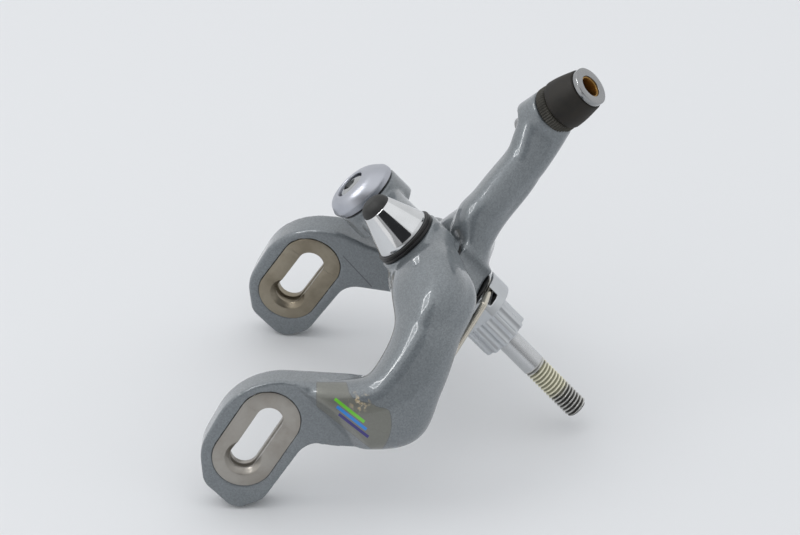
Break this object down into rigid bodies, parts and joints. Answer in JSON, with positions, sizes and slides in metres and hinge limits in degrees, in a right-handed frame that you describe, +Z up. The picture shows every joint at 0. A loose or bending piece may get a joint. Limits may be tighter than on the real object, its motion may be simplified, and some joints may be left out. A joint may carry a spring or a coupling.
{
  "type": "bicycle caliper brake",
  "caption": "Single-pivot side-pull bicycle rim brake: two forged grey arms on a centre bolt, with slotted pad ends, cable anchor, cable adjuster and return spring.",
  "frame": {"origin": "on the axis of the mounting bolt, in the rear face of the spring block that seats on the fork crown", "axes": "+Y along the mounting bolt to the rear, +Z up, +X to the right seen from the front, away from the cable"},
  "size_m": [0.0893, 0.0759, 0.1166],
  "materials": {
    "arm_paint": "gloss metallic grey lacquer",
    "insert_steel": "satin",
    "polished_aluminium": "polished",
    "bolt_steel": "polished",
    "dark_plastic": "matte",
    "black_plastic": "satin",
    "spring_steel": "drawn wire",
    "bronze": "turned",
    "black_steel": "blackened",
    "cap_aluminium": "satin anodised",
    "seal_rubber": "matte",
    "chrome": "bright",
    "liner_brass": "dull",
    "grip_plastic": "worn matte"
  },
  "bodies": {
    "centre": {"pivot_bolt": "bolt_steel", "spring_block": "polished_aluminium", "block_set_screw": "black_steel", "return_spring": "spring_steel", "rear_thrust_washer": "black_plastic", "middle_thrust_washer": "black_plastic", "inner_front_washer": "black_plastic", "outer_front_washer": "black_plastic", "cone_nut": "polished_aluminium", "cone_plug": "dark_plastic"},
    "front_arm": {"front_arm": "arm_paint", "front_arm_bush": "bronze", "front_slot_insert": "insert_steel", "front_spring_peg": "bolt_steel", "anchor_cap": "cap_aluminium", "anchor_seal": "seal_rubber", "anchor_clamp_bolt": "chrome", "anchor_nut": "bolt_steel"},
    "rear_arm": {"rear_arm": "arm_paint", "rear_arm_bush": "bronze", "rear_slot_insert": "insert_steel", "rear_spring_peg": "bolt_steel"},
    "adjuster_stem": {"adjuster_stem": "chrome", "adjuster_liner": "liner_brass"},
    "adjuster_knob": {"adjuster_knob": "grip_plastic", "adjuster_grip_ring": "grip_plastic"}
  },
  "joints": [
    {"name": "front_arm_pivot", "type": "hinge", "parent": "centre", "child": "front_arm", "pos_m": [0, 0, 0], "axis": [0, 1, 0], "range_deg": [0, 13], "stiffness_Nm_per_rad": 1.5, "springref_deg": -17.19, "deforming": ["return_spring"]},
    {"name": "rear_arm_pivot", "type": "hinge", "parent": "centre", "child": "rear_arm", "pos_m": [0, 0, 0], "axis": [0, -1, 0], "range_deg": [0, 13], "stiffness_Nm_per_rad": 1.5, "springref_deg": -17.19, "deforming": ["return_spring"]},
    {"name": "adjuster_travel", "type": "slide", "parent": "rear_arm", "child": "adjuster_stem", "axis": [0.1288, 0, 0.9917], "range_m": [0, 0.005]},
    {"name": "adjuster_turn", "type": "hinge", "parent": "adjuster_stem", "child": "adjuster_knob", "pos_m": [-0.02708, -0.0293, 0.05162], "axis": [0.1288, 0, 0.9917], "range_deg": [0, 1800]}
  ],
  "couplings": [
    {"joint": "adjuster_turn", "follows": "adjuster_travel", "rad_per_m": 6283.2}
  ]
}
